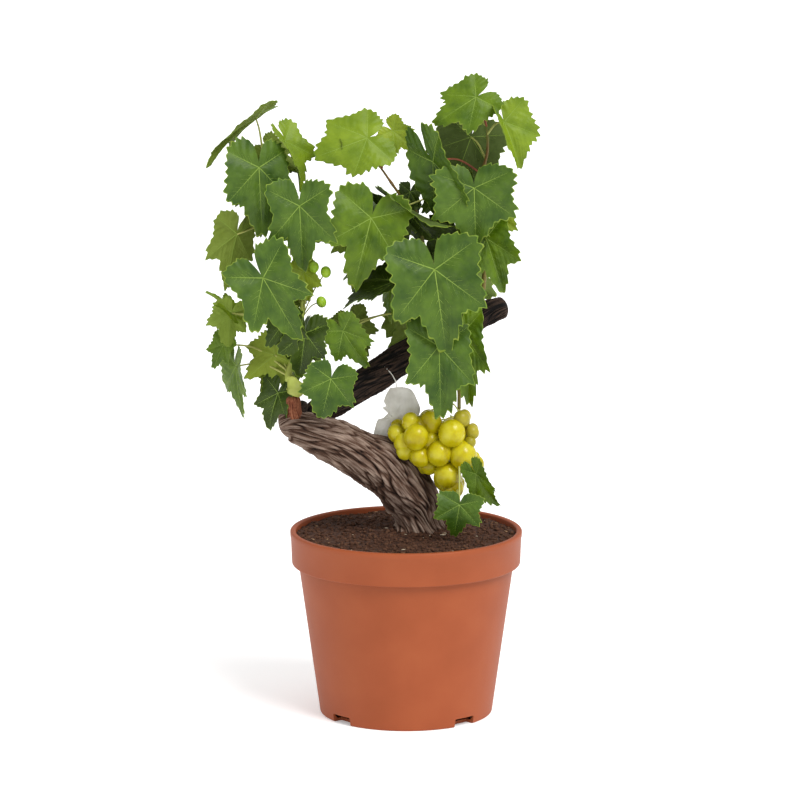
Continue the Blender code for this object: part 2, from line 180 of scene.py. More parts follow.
def pot_profile():
    """The wall's outline from the axis at the floor's top, up the inside, and down the outside to the foot."""
    band_foot = POT_HEIGHT - BAND_HEIGHT
    band_radius = RIM_RADIUS - BAND_FLARE
    lip_inside = RIM_RADIUS - LIP_WIDTH
    lip_middle = POT_HEIGHT - LIP_CORNER
    root = band_foot + SKIRT_ROOT
    body_top = band_foot - BODY_TOP_DROP
    outline = [(0.0, POT_FLOOR), (body_radius(POT_FLOOR) - WALL - FLOOR_CORNER, POT_FLOOR)]
    outline += [(body_radius(INNER_WALL_FOOT) - WALL, INNER_WALL_FOOT)]
    outline += [(body_radius(band_foot) - WALL, band_foot)]
    outline += [(lip_inside, POT_HEIGHT - LIP_INNER_DROP)]
    outline += arc((lip_inside + LIP_CORNER, lip_middle), LIP_CORNER, 180, 90)
    outline += arc((RIM_RADIUS - LIP_CORNER, lip_middle), LIP_CORNER, 90, 0)
    outline += [(RIM_RADIUS - LIP_EASE, POT_HEIGHT - LIP_DEPTH)]
    outline += [(RIM_RADIUS - LIP_STEP, POT_HEIGHT - LIP_STEP_DEPTH)]
    outline += arc((band_radius - BAND_CORNER_INSET, band_foot + BAND_CORNER), BAND_CORNER, 0, -110)
    outline += [(band_radius - SKIRT_INSET, band_foot + SKIRT_DEPTH)]
    outline += [(body_radius(root) + SKIRT_ROOT_EASE, root)]
    outline += [(body_radius(body_top), body_top), (body_radius(OUTER_WALL_FOOT), OUTER_WALL_FOOT)]
    outline += arc((body_radius(FOOT_CORNER) - FOOT_CORNER, FOOT_CORNER), FOOT_CORNER, 0, -90)
    hollow_radius = FOOT_RADIUS - FOOT_RING - FOOT_RING_SLOPE
    return outline + [(FOOT_RADIUS - FOOT_RING, 0.0), (hollow_radius, FOOT_HOLLOW), (0.0, FOOT_HOLLOW)]


def apply_modifier(piece, kind, **settings):
    """Adds a modifier with these settings and applies it."""
    modifier = piece.modifiers.new(kind.lower(), kind)
    for key, value in settings.items():
        setattr(modifier, key, value)
    bpy.context.view_layer.objects.active = piece
    bpy.ops.object.modifier_apply(modifier=modifier.name)


outline = pot_profile()
mesh = bpy.data.meshes.new("terracotta_pot")
mesh.from_pydata([(r, 0.0, z) for r, z in outline], [(n, n + 1) for n in range(len(outline) - 1)], [])
pot = bpy.data.objects.new("terracotta_pot", mesh)
bpy.context.collection.objects.link(pot)
apply_modifier(pot, "SCREW", steps=POT_STEPS, render_steps=POT_STEPS, use_merge_vertices=True,
               merge_threshold=POT_MERGE)
for angle in NOTCH_ANGLES:
    turn = math.radians(angle)
    place = (NOTCH_REACH * math.cos(turn), NOTCH_REACH * math.sin(turn), 0.0)
    bpy.ops.object.select_all(action="DESELECT")
    bpy.ops.mesh.primitive_cube_add(size=1, location=place, rotation=(0, 0, turn), scale=NOTCH_SIZE)
    cutter = bpy.context.object
    bpy.ops.object.transform_apply(scale=True)
    apply_modifier(cutter, "BEVEL", width=NOTCH_CORNER, segments=3)
    apply_modifier(pot, "BOOLEAN", operation="DIFFERENCE", object=cutter, solver="EXACT")
    bpy.data.objects.remove(cutter)
bpy.context.view_layer.objects.active = pot
pot.select_set(True)
bpy.ops.object.mode_set(mode="EDIT")
bpy.ops.mesh.select_all(action="SELECT")
bpy.ops.mesh.normals_make_consistent(inside=False)
bpy.ops.object.mode_set(mode="OBJECT")
bpy.ops.object.shade_smooth_by_angle(angle=POT_SHARP)
pot.data.materials.append(finish(
    "terracotta_plastic", (paint(143, 71, 38), paint(148, 74, 41), paint(152, 78, 44)),
    grain=22.0, roughness=0.55, bump=0.12, fine=900.0))
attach(pot, "root")
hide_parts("pot")


# Potting soil fills the pot to just under its rim: dark crumbly peat, heaped a little round the trunk, with
# loose crumbs and a few pale bark chips on its face.
SOIL_LEVEL = 0.1724
SOIL_RADIUS = 0.1035
SOIL_BOTTOM = 0.1600
SOIL_TAPER = 0.97
SOIL_SETTLING = 0.0010
SOIL_RINGS = 90
SOIL_STEPS = 260
TRUNK_FOOT_AT = (0.012, 0.0145)
MOUND_HEIGHT = 0.0028
MOUND_RADIUS = 0.042
MOUND_EDGE = 0.008
ROUGH_SCALE = 60
ROUGH_RISE = 0.0018
GRIT_SCALE = 260
GRIT_RISE = 0.0014
DUST_SCALE = 520
DUST_RISE = 0.0009
CRUMBS = 1700
CHIPS = 60
GRAIN_RADIUS = SOIL_RADIUS * 0.98
HIGHEST_GRAIN = 0.1790
GRAIN_PROUD = 0.2
CRUMB_SIZES = (0.0006, 0.0030, 0.0010)
CRUMB_STRETCH = (1, 1, 0.8)
CHIP_SIZES = (0.0008, 0.0017)
CHIP_STRETCH = (2.2, 0.8, 0.35)
RAGGED = (0.7, 1.25)


def new_heap():
    """An empty store of small meshes that will be joined."""
    return {"points": [], "faces": [], "slots": [], "count": 0}


def heap_up(heap, points, faces, slot=0):
    """Adds one small mesh of triangles to those that will be joined."""
    heap["points"].append(np.asarray(points, float))
    heap["faces"].append(np.asarray(faces, int) + heap["count"])
    heap["slots"].append(np.full(len(faces), slot))
    heap["count"] += len(points)


def make_piece(name, heap, materials, replaced=()):
    """Joins a heap into one smooth piece on the plant's body."""
    points, faces = np.concatenate(heap["points"]), np.concatenate(heap["faces"])
    made = bpy.data.meshes.new(name)
    made.vertices.add(len(points))
    made.vertices.foreach_set("co", points.astype(np.float32).ravel())
    made.loops.add(faces.size)
    made.loops.foreach_set("vertex_index", faces.astype(np.int32).ravel())
    made.polygons.add(len(faces))
    made.polygons.foreach_set("loop_start", np.arange(0, faces.size, 3, dtype=np.int32))
    made.polygons.foreach_set("material_index", np.concatenate(heap["slots"]).astype(np.int32))
    made.update(calc_edges=True)
    made.shade_smooth()
    for material in materials:
        made.materials.append(material)
    piece = bpy.data.objects.new(name, made)
    bpy.context.collection.objects.link(piece)
    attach(piece, "root")
    if replaced:
        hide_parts(*replaced)
    return piece


def split_quads(quads):
    """Two triangles for each four-sided face."""
    quads = np.asarray(quads)
    return np.concatenate([quads[:, [0, 1, 2]], quads[:, [0, 2, 3]]])


def soil_height(x, y):
    """The height of the soil's face here."""
    near = math.hypot(x - TRUNK_FOOT_AT[0], y - TRUNK_FOOT_AT[1])
    mound = MOUND_HEIGHT / (1 + math.exp((near - MOUND_RADIUS) / MOUND_EDGE))
    rough = noise.fractal(Vector((x, y, 0)) * ROUGH_SCALE, 1.0, 2.1, 3) * ROUGH_RISE
    grit = abs(noise.noise(Vector((x, y, 3)) * GRIT_SCALE)) * GRIT_RISE
    dust = abs(noise.noise(Vector((x, y, 5)) * DUST_SCALE)) * DUST_RISE
    return SOIL_LEVEL + mound + rough + (grit + dust) - SOIL_SETTLING


draw = random.Random(41)
soil = new_heap()
rows = []
for ring in range(SOIL_RINGS + 1):
    radius = SOIL_RADIUS * ring / SOIL_RINGS
    for step in range(SOIL_STEPS):
        turn = 2 * math.pi * step / SOIL_STEPS
        x, y = radius * math.cos(turn), radius * math.sin(turn)
        rows.append((x, y, soil_height(x, y)))
rows += [(p[0] * SOIL_TAPER, p[1] * SOIL_TAPER, SOIL_BOTTOM) for p in rows[-SOIL_STEPS:]]
rows.append((0.0, 0.0, SOIL_BOTTOM))
quads = [(r * SOIL_STEPS + s, (r + 1) * SOIL_STEPS + s, (r + 1) * SOIL_STEPS + (s + 1) % SOIL_STEPS,
          r * SOIL_STEPS + (s + 1) % SOIL_STEPS) for r in range(SOIL_RINGS + 1) for s in range(SOIL_STEPS)]
below = (SOIL_RINGS + 1) * SOIL_STEPS
floor_fan = [(len(rows) - 1, below + (s + 1) % SOIL_STEPS, below + s) for s in range(SOIL_STEPS)]
heap_up(soil, rows, np.concatenate([split_quads(quads), floor_fan]))

bpy.ops.mesh.primitive_ico_sphere_add(subdivisions=1, radius=1.0)
crumb = bpy.context.object
crumb_points = np.array([v.co for v in crumb.data.vertices])
crumb_faces = np.array([p.vertices for p in crumb.data.polygons])
bpy.data.objects.remove(crumb)


def lump(heap, place, size, slot, stretch):
    """One uneven grain, turned at random."""
    ragged = crumb_points * np.array([[draw.uniform(*RAGGED)] for _ in crumb_points]) * stretch
    turn = draw.uniform(0, 2 * math.pi)
    across = np.array(((math.cos(turn), -math.sin(turn), 0), (math.sin(turn), math.cos(turn), 0), (0, 0, 1)))
    heap_up(heap, ragged @ across.T * size + place, crumb_faces, slot)


grains = new_heap()
for number in range(CRUMBS + CHIPS):
    is_crumb = number < CRUMBS
    radius, turn = GRAIN_RADIUS * math.sqrt(draw.random()), draw.uniform(0, 2 * math.pi)
    x, y = radius * math.cos(turn), radius * math.sin(turn)
    size = draw.triangular(*CRUMB_SIZES) if is_crumb else draw.uniform(*CHIP_SIZES)
    slot = 0 if is_crumb else draw.choice((1, 2))
    height = min(soil_height(x, y) + size * GRAIN_PROUD, HIGHEST_GRAIN)
    lump(grains, (x, y, height), size, slot, CRUMB_STRETCH if is_crumb else CHIP_STRETCH)
peat = finish("peat", (paint(44, 28, 20), paint(66, 43, 31), paint(88, 60, 44)),
              grain=240.0, roughness=0.9, bump=0.9, fine=900.0)
make_piece("potting_soil", soil, [peat], ("soil",))
make_piece("soil_crumbs", grains, [
    finish("peat_crumbs", (paint(50, 32, 22), paint(78, 52, 38), paint(98, 70, 52)),
           grain=300.0, roughness=0.9, bump=0.8, fine=900.0),
    finish("bark_chips", (paint(128, 96, 70), paint(160, 128, 98)),
           grain=200.0, roughness=0.85, bump=0.5, fine=900.0),
    finish("pale_chips", (paint(170, 150, 124), paint(205, 190, 168)),
           grain=200.0, roughness=0.8, bump=0.4, fine=900.0),
])


# The old wood: a thick leaning trunk with a knobbly head, one long arm that rises to the right and ends in a
# blunt stub, a short dead stub and a red-brown spur. Stringy bark with long deep furrows covers it. Each
# station is (x, y, z, radius).
FOOT = SOIL_LEVEL + 0.0025
TRUNK = ((0.0125, 0.0150, FOOT - 0.006, 0.0262), (0.012, 0.0145, FOOT, 0.0240),
         (0.011, 0.014, 0.184, 0.0212), (0.007, 0.013, 0.202, 0.0240), (-0.004, 0.008, 0.221, 0.0258),
         (-0.022, 0.003, 0.238, 0.0248), (-0.043, -0.002, 0.249, 0.0224), (-0.064, -0.006, 0.260, 0.0204),
         (-0.087, -0.010, 0.272, 0.0180), (-0.107, -0.012, 0.282, 0.0150), (-0.120, -0.012, 0.280, 0.0100))
ARM = ((-0.097, 0.002, 0.277, 0.0113), (-0.079, 0.004, 0.292, 0.0127), (-0.058, 0.008, 0.303, 0.0141),
       (-0.025, 0.012, 0.324, 0.0146), (-0.002, 0.016, 0.339, 0.0146), (0.028, 0.021, 0.356, 0.0137),
       (0.059, 0.026, 0.371, 0.0123), (0.081, 0.030, 0.381, 0.0110), (0.096, 0.032, 0.385, 0.0088))
DEAD_STUB = ((-0.099, -0.010, 0.284, 0.0060), (-0.0985, -0.010, 0.294, 0.0054),
             (-0.097, -0.010, 0.302, 0.0046))
SPUR = ((-0.105, -0.016, 0.281, 0.0088), (-0.106, -0.018, 0.296, 0.0073), (-0.106, -0.019, 0.309, 0.0066))
FIRST_SIDE = (0.13, 0.98, 0.11)
BARK_TWIST = 5.0
BARK_SWAY = 0.5
BARK_SWAY_PITCH = 34
STRANDS = (4.2, 40)
THREADS = (10.0, 70)
FIBRES = (24.0, 130)
KNOTS = (1.3, 26)
CRACK_WIDTH = 3.4
THREAD_RISE = 0.65
FIBRE_RISE = 0.55
FOOT_NARROWING = 0.9
ROUNDED_RINGS = 14
ROUNDING_START = 0.6
END_SHADE = -0.6
BARK_RAMP = (0.12, 0.55, 1.0)
BARK_DEPTHS = (-1.0, 0.95)
STREAK_SCALE = 300.0
STREAK_DETAIL = 8.0
STREAK_SHARE = 0.9


def smooth_route(stations, steps):
    """A smooth curve through stations of any length of row, with its end stations kept."""
    rows = np.array(stations, float)
    padded = np.vstack([2 * rows[0] - rows[1], rows, 2 * rows[-1] - rows[-2]])
    out = []
    for n in range(len(rows) - 1):
        a, b, c, d = padded[n:n + 4]
        for t in np.arange(steps) / steps:
            out.append(0.5 * (2 * b + (c - a) * t + (2 * a - 5 * b + 4 * c - d) * t ** 2
                              + (3 * b - a - 3 * c + d) * t ** 3))
    return np.array(out + [rows[-1]])


def tube(line, radii, sides):
    """Points and triangles of a closed tube. radii holds one radius for each point of each ring."""
    ways = np.gradient(line, axis=0)
    ways /= np.linalg.norm(ways, axis=1)[:, None]
    side = np.cross(ways[0], FIRST_SIDE)
    rings = []
    for centre, way, radius in zip(line, ways, radii):
        side = side - way * np.dot(side, way)
        side = side / np.linalg.norm(side)
        up = np.cross(way, side)
        turns = 2 * np.pi * np.arange(sides) / sides
        rings.append(centre + (np.outer(np.cos(turns), side) + np.outer(np.sin(turns), up)) * radius[:, None])
    count = len(line)
    points = np.concatenate(rings + [[line[0]], [line[-1]]])
    ring, step = np.meshgrid(np.arange(count - 1), np.arange(sides), indexing="ij")
    ring, step = ring.ravel() * sides, step.ravel()
    after = (step + 1) % sides
    quads = np.stack([ring + step, ring + after, ring + sides + after, ring + sides + step], 1)
    steps = np.arange(sides)
    after, last = (steps + 1) % sides, (count - 1) * sides
    start = np.stack([np.full(sides, count * sides), after, steps], 1)
    end = np.stack([np.full(sides, count * sides + 1), last + steps, last + after], 1)
    return points, np.concatenate([split_quads(quads), start, end])


def even_tube(line, radius, sides):
    """A closed tube of one radius."""
    return tube(line, np.full((len(line), sides), radius), sides)


def bark_noise(ring, along, pattern, shift=(0, 0)):
    """Noise on a limb. pattern says how fine it is round the limb and along it."""
    return noise.noise(ring * pattern[0] + Vector((*shift, along * pattern[1])))


def bark_limb(name, stations, material, replaced, steps, sides, furrow, lumps):
    """A limb whose bark is split by furrows that run along it and wander, with knots in it."""
    route = smooth_route(stations, steps)
    line, radius = route[:, :3], route[:, 3]
    along = np.concatenate([[0], np.cumsum(np.linalg.norm(np.diff(line, axis=0), axis=1))])
    radii, depths = np.zeros((len(line), sides)), np.zeros((len(line), sides))
    for n in range(len(line)):
        sway = BARK_SWAY * math.sin(along[n] * BARK_SWAY_PITCH)
        for s in range(sides):
            swirl = 2 * math.pi * s / sides + BARK_TWIST * along[n] + sway
            ring = Vector((math.cos(swirl), math.sin(swirl), 0))
            crack = 1 - min(1.0, abs(bark_noise(ring, along[n], STRANDS)) * CRACK_WIDTH)
            thread = bark_noise(ring, along[n], THREADS, (7, 3))
            fibre = bark_noise(ring, along[n], FIBRES, (2, 9))
            knot = bark_noise(ring, along[n], KNOTS, (4, 4))
            depths[n, s] = THREAD_RISE * thread + FIBRE_RISE * fibre - crack ** 2
            radii[n, s] = radius[n] + furrow * depths[n, s] + lumps * knot
    radii[0] = radii[0] * FOOT_NARROWING
    for back in range(ROUNDED_RINGS):
        radii[-1 - back] *= math.sqrt(1 - (1 - (back + ROUNDING_START) / ROUNDED_RINGS) ** 2)
    heap = new_heap()
    heap_up(heap, *tube(line, radii, sides))
    piece = make_piece(name, heap, [material], replaced)
    # The depth is kept on the mesh for the bark's colour, which paints shade into the furrows.
    shade = piece.data.attributes.new("furrow", "FLOAT", "POINT")
    shade.data.foreach_set("value", np.append(depths.ravel(), (END_SHADE, END_SHADE)).astype(np.float32))


def bark_finish(name, deep, middle, ridge):
    """Bark near black in its furrows, partly painted shade, and pale on its weathered ridges, from its depth.
    """
    made = finish(name, (deep, middle), grain=90.0, roughness=0.86, bump=0.7, fine=1400.0)
    nodes, links = made.node_tree.nodes, made.node_tree.links
    depth = nodes.new("ShaderNodeAttribute")
    depth.attribute_name = "furrow"
    ramp = nodes.new("ShaderNodeValToRGB")
    ramp.color_ramp.elements.new(0.5)
    for element, place, colour in zip(ramp.color_ramp.elements, BARK_RAMP, (deep, middle, ridge)):
        element.position, element.color = place, colour
    reach = nodes.new("ShaderNodeMapRange")
    reach.inputs["From Min"].default_value, reach.inputs["From Max"].default_value = BARK_DEPTHS
    streak = nodes.new("ShaderNodeTexNoise")
    streak.inputs["Scale"].default_value = STREAK_SCALE
    streak.inputs["Detail"].default_value = STREAK_DETAIL
    mix = nodes.new("ShaderNodeMath")
    mix.operation = "MULTIPLY_ADD"
    mix.inputs[1].default_value = STREAK_SHARE
    links.new(streak.outputs["Fac"], mix.inputs[0])
    links.new(depth.outputs["Fac"], mix.inputs[2])
    links.new(mix.outputs["Value"], reach.inputs["Value"])
    links.new(reach.outputs["Result"], ramp.inputs["Fac"])
    links.new(ramp.outputs["Color"], nodes["Principled BSDF"].inputs["Base Color"])
    return made


old_bark = bark_finish("old_bark", paint(14, 8, 6), paint(82, 60, 48), paint(152, 132, 118))
# The arm's bark is painted far darker than the trunk's, as shade from the leaves above; the dead stub wears it
# too.
shaded_arm_bark = bark_finish("shaded_arm_bark", paint(5, 3, 2), paint(20, 13, 9), paint(74, 58, 48))
spur_bark = bark_finish("spur_bark", paint(48, 24, 16), paint(112, 62, 42), paint(148, 96, 70))
bark_limb("trunk_bark", TRUNK, old_bark, ("trunk",), steps=34, sides=220, furrow=0.0023, lumps=0.0044)
bark_limb("shaded_arm_bark", ARM, shaded_arm_bark, ("arm",), steps=34, sides=150, furrow=0.0015, lumps=0.0014)
bark_limb("spur_bark", SPUR, spur_bark, ("spur",), steps=40, sides=90, furrow=0.0007, lumps=0.0003)
bark_limb("dead_stub_bark", DEAD_STUB, shaded_arm_bark, (), steps=40, sides=70, furrow=0.0006, lumps=0.0004)


# The canes of the year: a pale swelling on the spur carries the left shoot, and two more shoots rise from the
# arm, where the stalk of the bunch hangs too. Each thickens at intervals, as a cane does at its joints. Each
# station is (x, y, z, radius).
CANES = {
    "left_cane": (
        (-0.106, -0.019, 0.3094, 0.0062), (-0.104, -0.019, 0.3150, 0.0086), (-0.107, -0.017, 0.3220, 0.0052),
        (-0.110, -0.013, 0.330, 0.0034), (-0.099, -0.006, 0.368, 0.0022), (-0.098, 0.000, 0.412, 0.0020),
        (-0.108, 0.004, 0.456, 0.0018), (-0.123, 0.006, 0.502, 0.0014), (-0.134, 0.006, 0.535, 0.0011)),
    "middle_cane": (
        (0.029, 0.020, 0.362, 0.0026), (0.024, 0.018, 0.402, 0.0022), (0.017, 0.014, 0.442, 0.0018),
        (0.010, 0.010, 0.477, 0.0015), (-0.005, 0.006, 0.494, 0.0013), (-0.023, 0.002, 0.520, 0.0010)),
    "right_cane": (
        (0.068, 0.028, 0.376, 0.0026), (0.073, 0.028, 0.406, 0.0023), (0.075, 0.024, 0.450, 0.0019),
        (0.070, 0.018, 0.502, 0.0016), (0.076, 0.012, 0.536, 0.0013), (0.075, 0.010, 0.559, 0.0010)),
    "bunch_stalk": (
        (0.048, 0.022, 0.366, 0.0017), (0.050, 0.012, 0.330, 0.0015), (0.050, 0.002, 0.292, 0.0018)),
}
CANE_STEPS = 14
CANE_SIDES = 16
JOINT_SWELL = 0.35
JOINT_LENGTH = 1.3
EVEN_START = 36
young_skin = finish("young_skin", (paint(150, 158, 76), paint(176, 186, 92)),
                    grain=60.0, roughness=0.5, bump=0.2, fine=700.0)
cane_skin = finish("cane_skin", (paint(92, 112, 48), paint(120, 108, 56), paint(118, 78, 48)),
                   grain=28.0, roughness=0.5, bump=0.25, fine=700.0)
red_stalk = finish("red_stalk", (paint(122, 64, 44), paint(150, 88, 62)),
                   grain=60.0, roughness=0.45, bump=0.1, fine=700.0)
pale_stalk = finish("pale_stalk", (paint(150, 156, 78), paint(182, 184, 104)),
                    grain=60.0, roughness=0.45, bump=0.1, fine=700.0)
cane_lines = {}
for name, stations in CANES.items():
    route = smooth_route(stations, CANE_STEPS)
    cane_lines[name] = route[:, :3]
    from_joint = np.arange(len(route)) % CANE_STEPS - CANE_STEPS / 2
    swell = 1 + JOINT_SWELL * np.exp(-(from_joint / JOINT_LENGTH) ** 2)
    swell[0] = swell[-1] = 1.0
    if name == "left_cane":
        swell[:EVEN_START] = 1.0
    radii = np.repeat((route[:, 3] * swell)[:, None], CANE_SIDES, axis=1)
    heap = new_heap()
    heap_up(heap, *tube(route[:, :3], radii, CANE_SIDES))
    skin = young_skin if name == "left_cane" else cane_skin
    make_piece(name + "_wood", heap, [skin], (name,))


# Leaves: each is a thin blade of its own toothed, lobed outline round the joint where five veins meet, with
# puckers between the veins and pale ribs that stand proud on both faces. A thin red or yellow stalk joins it
# to its cane.
TEETH = 36
TOOTH_SHAPE = (0.0, 0.42, 0.86, 1.0, 0.35)
TOOTH_SIZES = (0.35, 1.5)
TOOTH_DEPTH = 0.088
TOOTH_MIDDLE = 0.4
TOOTHED_TO = 2.9
TOOTHED_FROM = 0.75
BLADE_WIDTH = 1.32
RINGS = (0.10, 0.22, 0.34, 0.45, 0.56, 0.66, 0.76, 0.85, 0.93, 0.975, 1.0)
VEINS = (0.0, 0.93, -0.93, 1.95, -1.95)
HALF_BLADE = 0.0018
BEHIND_VEIN = 9.0
PUCKER = 0.024
PUCKER_REACH = 0.075
RIPPLE_SHARE = 0.28
RIPPLE_PITCH = 46
WAVE = 0.07
SMALL_WAVE = 0.6
FOLD_REACH = 0.12
CURL = 0.5
VEIN_LENGTH = 0.93
VEIN_POINTS = 12
MIDRIB_WIDTH = 0.0105
RIB_WIDTH = 0.0085
BRANCH_WIDTH = 0.0024
BRANCH_POINTS = 5
BRANCH_ANGLE = 0.82
BRANCH_LENGTH = 0.30
BRANCH_BOW = 0.35
BRANCH_SPACING = 8.5
RIB_PROUD = 0.0008
RIB_CROWN = 0.45
STALK_DROP = (0, 0, -0.014)
STALK_BEHIND = 0.004
STALK_RISE = 0.1225
STALK_SEAT = 0.0006
STALK_RADII = (0.0011, 0.0008)
STALK_STEPS = 8
STALK_SIDES = 8
NEAR_SHARE = 0.72
FAR_SHARE = 0.80
PALER = 12
# The bright and yellow tones paint light shining through leaves from behind; the dark tone paints shade in the
# crown.
# The tones are partly the leaves' own spread of green and partly lit and shaded copies of one green.
TONES = {
    "blue": ((48, 74, 14), (80, 106, 30), (92, 110, 48)),
    "mid": ((62, 88, 6), (96, 122, 16), (98, 114, 38)),
    "lit_bright": ((94, 118, 14), (122, 144, 32), (116, 136, 48)),
    "backlit_yellow": ((104, 124, 16), (132, 148, 34), (118, 134, 40)),
    "shaded_dark": ((42, 58, 8), (60, 78, 14), (74, 90, 38)),
}
tone_slots = {tone: number * 2 for number, tone in enumerate(TONES)}
leaf_materials = []
for tone, (shade, light, under) in TONES.items():
    leaf_materials.append(finish(tone + "_leaf", (paint(*shade), paint(*light)),
                                 grain=60.0, roughness=0.42, bump=0.5, fine=1500.0))
    pale = tuple(min(255, channel + PALER) for channel in under)
    leaf_materials.append(finish(tone + "_underside", (paint(*under), paint(*pale)),
                                 grain=46.0, roughness=0.7, bump=0.5, fine=1500.0))
leaf_materials.append(finish("leaf_veins", (paint(122, 148, 60), paint(142, 166, 76)),
                             grain=80.0, roughness=0.5, bump=0.1, fine=900.0))
leaf_materials.append(finish("leaf_margin", (paint(88, 120, 32), paint(136, 152, 58)),
                             grain=120.0, roughness=0.5, bump=0.1, fine=900.0))
VEIN_SLOT, MARGIN_SLOT = len(TONES) * 2, len(TONES) * 2 + 1


def outline_radius(turn, lobing):
    """How far the blade reaches at this turn from its tip, as a share of its length, before its teeth."""
    corners = np.radians((0, 10, 20, 33, 44, 53, 62, 78, 92, 108, 120, 136, 150, 163, 172, 180))
    lobed = (1.0, 0.86, 0.70, 0.52, 0.68, 0.84, 0.77, 0.58, 0.60, 0.70, 0.66, 0.52, 0.45, 0.34, 0.16, 0.04)
    plain = (1.0, 0.92, 0.84, 0.77, 0.78, 0.82, 0.78, 0.70, 0.67, 0.67, 0.62, 0.53, 0.46, 0.34, 0.15, 0.04)
    mixed = np.array(lobed) * lobing + np.array(plain) * (1 - lobing)
    return np.interp(np.abs(turn), corners, mixed)


def shape_blade(x, y, lift, leaf):
    """Bends flat places on a blade to its folds, curl, waves and puckers."""
    reach, turn = np.hypot(x, y), np.arctan2(x, y)
    gaps = [np.where(np.cos(turn - vein) > 0, reach * np.abs(np.sin(turn - vein)), BEHIND_VEIN)
            for vein in VEINS]
    away = np.min(gaps, axis=0)
    between = 1 - np.exp(-(away / PUCKER_REACH) ** 2)
    ripple = between * np.sin((reach - 0.8 * away) * RIPPLE_PITCH)
    rise = PUCKER * between + PUCKER * RIPPLE_SHARE * ripple
    rise = rise + WAVE * reach ** 2 * np.sin(3 * turn + leaf["phase"])
    rise = rise + WAVE * SMALL_WAVE * reach ** 3 * np.sin(8 * turn + leaf["phase"] * 2) + lift
    fold = np.where(x < 0, leaf["left"], leaf["right"]) * (1 - np.exp(-(np.abs(x) / FOLD_REACH)))
    side = x * np.cos(fold) * leaf["wide"]
    height = rise + np.abs(x) * np.sin(fold) * leaf["wide"]
    return np.stack([side, np.sin(CURL * y) / CURL, height - (1 - np.cos(CURL * y)) / CURL], -1)


def blade_outline(leaf):
    """The turns round a blade's joint, how far it reaches at each, and what its teeth make of that."""
    count = TEETH * len(TOOTH_SHAPE)
    turns = 2 * np.pi * (np.arange(count) + 0.5) / count - np.pi
    smooth = outline_radius(turns, leaf["lobing"])
    broad = 0.05 * np.sin(2 * turns + luck.uniform(0, 6))
    uneven = 1 + broad + 0.03 * np.sin(5 * turns + luck.uniform(0, 6))
    smooth = smooth * (1 + (uneven - 1) * np.clip(np.abs(turns) * 3, 0, 1))
    sizes = np.repeat([luck.uniform(*TOOTH_SIZES) for _ in range(TEETH)], len(TOOTH_SHAPE))
    saw = np.tile(TOOTH_SHAPE, TEETH) * sizes
    return turns, smooth, 1 + TOOTH_DEPTH * (saw - TOOTH_MIDDLE) * (np.abs(turns) < TOOTHED_TO)


def rib_runs(leaf):
    """The middle line and half width of each vein and of the branches on both its sides."""
    runs = []
    for vein in VEINS:
        length = VEIN_LENGTH * outline_radius(vein, leaf["lobing"])
        way = np.array((math.sin(vein), math.cos(vein)))
        line = [way * length * t for t in np.linspace(0.0, 1.0, VEIN_POINTS)]
        runs.append((line, MIDRIB_WIDTH if vein == 0 else RIB_WIDTH))
        for number in range(2, 8):
            start = way * length * number / BRANCH_SPACING
            for hand in (-1, 1):
                branch = vein + hand * BRANCH_ANGLE
                tip_way = np.array((math.sin(branch), math.cos(branch)))
                reach = BRANCH_LENGTH * length * (1 - number / 10)
                bow = way * reach * BRANCH_BOW
                line = [start + tip_way * reach * t + bow * t * t for t in np.linspace(0, 1, BRANCH_POINTS)]
                runs.append((line, BRANCH_WIDTH))
    return runs


def rib_mesh(run, width, leaf):
    """One tapering rib, four-sided, that stands proud of both faces of the blade."""
    run = np.array(run)
    ways = np.gradient(run, axis=0)
    ways /= np.linalg.norm(ways, axis=1)[:, None] + 1e-9
    across = np.stack([ways[:, 1], -ways[:, 0]], 1)
    thin = (width * np.linspace(1.0, 0.25, len(run)))[:, None]
    left, right = run - across * thin, run + across * thin
    proud = HALF_BLADE + RIB_PROUD + thin[:, 0] * RIB_CROWN
    corners = ((left, 0.0), (run, proud), (right, 0.0), (run, -proud))
    points = np.stack([shape_blade(line[:, 0], line[:, 1], lift, leaf) for line, lift in corners], 1)
    here = np.arange(len(run) - 1)[:, None] * 4 + np.arange(4)[None]
    beside = np.arange(len(run) - 1)[:, None] * 4 + (np.arange(4)[None] + 1) % 4
    quads = np.stack([here, beside, beside + 4, here + 4], -1).reshape(-1, 4)
    last = (len(run) - 1) * 4
    ends = [(0, 2, 1), (0, 3, 2), (last, last + 1, last + 2), (last, last + 2, last + 3)]
    return points.reshape(-1, 3), np.concatenate([split_quads(quads), ends])


